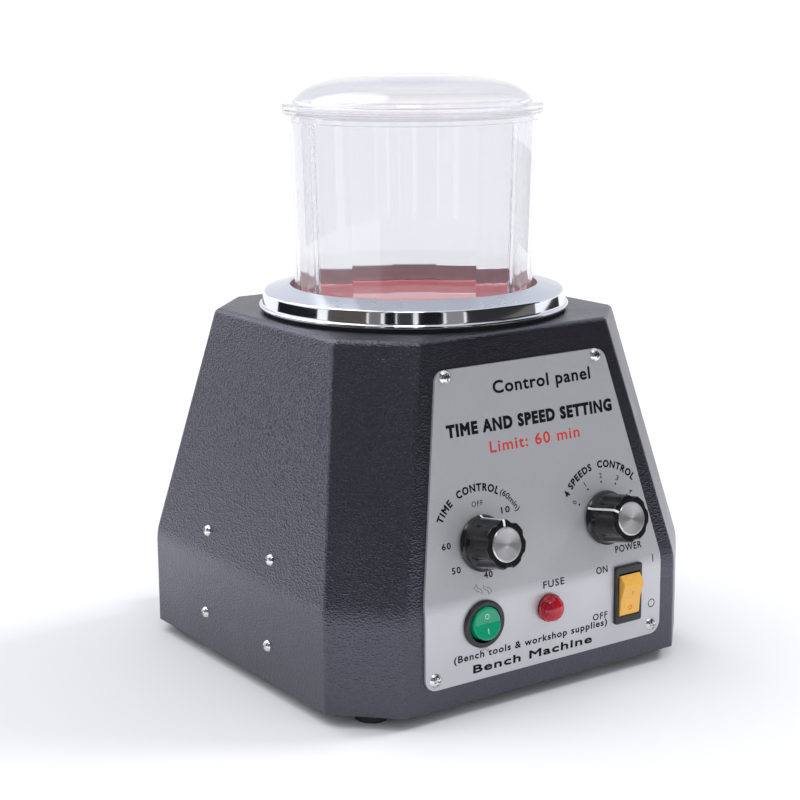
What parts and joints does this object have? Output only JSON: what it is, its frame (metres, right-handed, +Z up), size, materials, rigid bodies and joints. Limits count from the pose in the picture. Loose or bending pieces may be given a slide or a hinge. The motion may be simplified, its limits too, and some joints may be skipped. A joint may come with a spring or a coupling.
{
  "type": "magnetic tumbler",
  "caption": "Bench magnetic tumbler with a tapered metal housing, a bent control panel, a chrome seat ring and a lift-off clear faceted bowl with a domed lid.",
  "frame": {"origin": "on the floor, at the middle of the four feet, on the axis shared by bowl, rotor and motor", "axes": "+Z up, -Y out of the control panel, +X to the right of someone facing the panel"},
  "size_m": [0.2118, 0.2422, 0.2809],
  "materials": {
    "housing_paint": "textured powder coat, leather-like grain",
    "plate_paint": "satin",
    "rubber": "matte",
    "zinc_steel": "zinc plated",
    "polished_chrome": "mirror polished",
    "bright_screw": "bright plated",
    "stainless": "satin",
    "red_pad": "satin",
    "clear_plastic": "clear, polished",
    "magnet_nickel": "nickel plated",
    "cast_aluminium": "as cast and turned",
    "steel": "ground",
    "copper": "enamelled and bare copper",
    "black_plastic": "moulded",
    "ferrite": "matte",
    "carbon": "matte",
    "knob_plastic": "glossy moulded",
    "spun_aluminium": "spun, with turning marks",
    "yellow_plastic": "satin moulded",
    "green_plastic": "translucent moulded",
    "red_lens": "translucent",
    "fuse_glass": "clear",
    "brushed_panel": "matte anodised",
    "coil_tape": "yellow tape",
    "board_green": "solder mask"
  },
  "bodies": {
    "base": {"housing_shell": "housing_paint", "base_plate": "plate_paint", "motor_plate": "plate_paint", "transformer_bracket": "plate_paint", "rubber_feet": "rubber", "ring_gasket": "rubber", "gland_seal": "rubber", "bottom_screws": "zinc_steel", "ring_studs": "zinc_steel", "motor_mount_screws": "zinc_steel", "hex_nuts": "zinc_steel", "panel_nuts": "zinc_steel", "motor_standoffs": "zinc_steel", "board_standoffs": "zinc_steel", "chrome_ring": "polished_chrome", "panel_screws": "bright_screw", "side_screws": "bright_screw", "seat_plate": "stainless", "red_seat_pad": "red_pad", "motor_top_bell": "cast_aluminium", "motor_bottom_bell": "cast_aluminium", "motor_can": "steel", "shaft_bearings": "steel", "transformer_core": "steel", "switch_terminals": "copper", "brush_holders": "black_plastic", "speed_body": "black_plastic", "timer_body": "black_plastic", "gland_body": "black_plastic", "gland_cap": "black_plastic", "fuse_holder_body": "black_plastic", "power_switch_body": "black_plastic", "direction_switch_body": "black_plastic", "field_magnets": "ferrite", "carbon_brushes": "carbon", "glass_fuse": "fuse_glass", "control_panel": "brushed_panel", "transformer_coil": "coil_tape", "control_board": "board_green"},
    "rotor": {"magnets": "magnet_nickel", "magnet_carrier": "cast_aluminium", "rotor_disc": "steel", "rotor_screws": "zinc_steel", "rotor_hub": "cast_aluminium", "motor_shaft": "steel", "armature_core": "steel", "armature_windings": "copper", "commutator": "copper", "cooling_fan": "black_plastic"},
    "bowl": {"bowl": "clear_plastic"},
    "lid": {"lid": "clear_plastic"},
    "timer_knob": {"timer_shaft": "steel", "timer_knob": "knob_plastic", "timer_knob_cap": "spun_aluminium"},
    "speed_knob": {"speed_shaft": "steel", "speed_knob": "knob_plastic", "speed_knob_cap": "spun_aluminium"},
    "direction_rocker": {"direction_rocker": "green_plastic"},
    "power_rocker": {"power_rocker": "yellow_plastic"},
    "fuse_cap": {"fuse_cap": "red_lens"}
  },
  "joints": [
    {"name": "rotor_spin", "type": "hinge", "parent": "base", "child": "rotor", "pos_m": [0, 0, 0.1], "axis": [0, 0, 1], "continuous": true},
    {"name": "bowl_lift", "type": "slide", "parent": "base", "child": "bowl", "axis": [0, 0, 1], "range_m": [0, 0.12]},
    {"name": "lid_lift", "type": "slide", "parent": "bowl", "child": "lid", "axis": [0, 0, 1], "range_m": [0, 0.12]},
    {"name": "timer_turn", "type": "hinge", "parent": "base", "child": "timer_knob", "pos_m": [-0.0347, -0.10105, 0.07792], "axis": [0, 0.9799, -0.1994], "range_deg": [0, 270]},
    {"name": "speed_turn", "type": "hinge", "parent": "base", "child": "speed_knob", "pos_m": [0.0382, -0.10115, 0.07743], "axis": [0, 0.9799, -0.1994], "range_deg": [0, 120]},
    {"name": "direction_rock", "type": "hinge", "parent": "base", "child": "direction_rocker", "pos_m": [-0.0376, -0.1042, 0.0422], "axis": [1, 0, 0], "range_deg": [0, 18]},
    {"name": "power_rock", "type": "hinge", "parent": "base", "child": "power_rocker", "pos_m": [0.0481, -0.1003, 0.0398], "axis": [-1, 0, 0], "range_deg": [0, 24]},
    {"name": "fuse_cap_turn", "type": "hinge", "parent": "base", "child": "fuse_cap", "pos_m": [0, -0.1062, 0.0424], "axis": [0, -1, 0], "range_deg": [0, 90]}
  ]
}
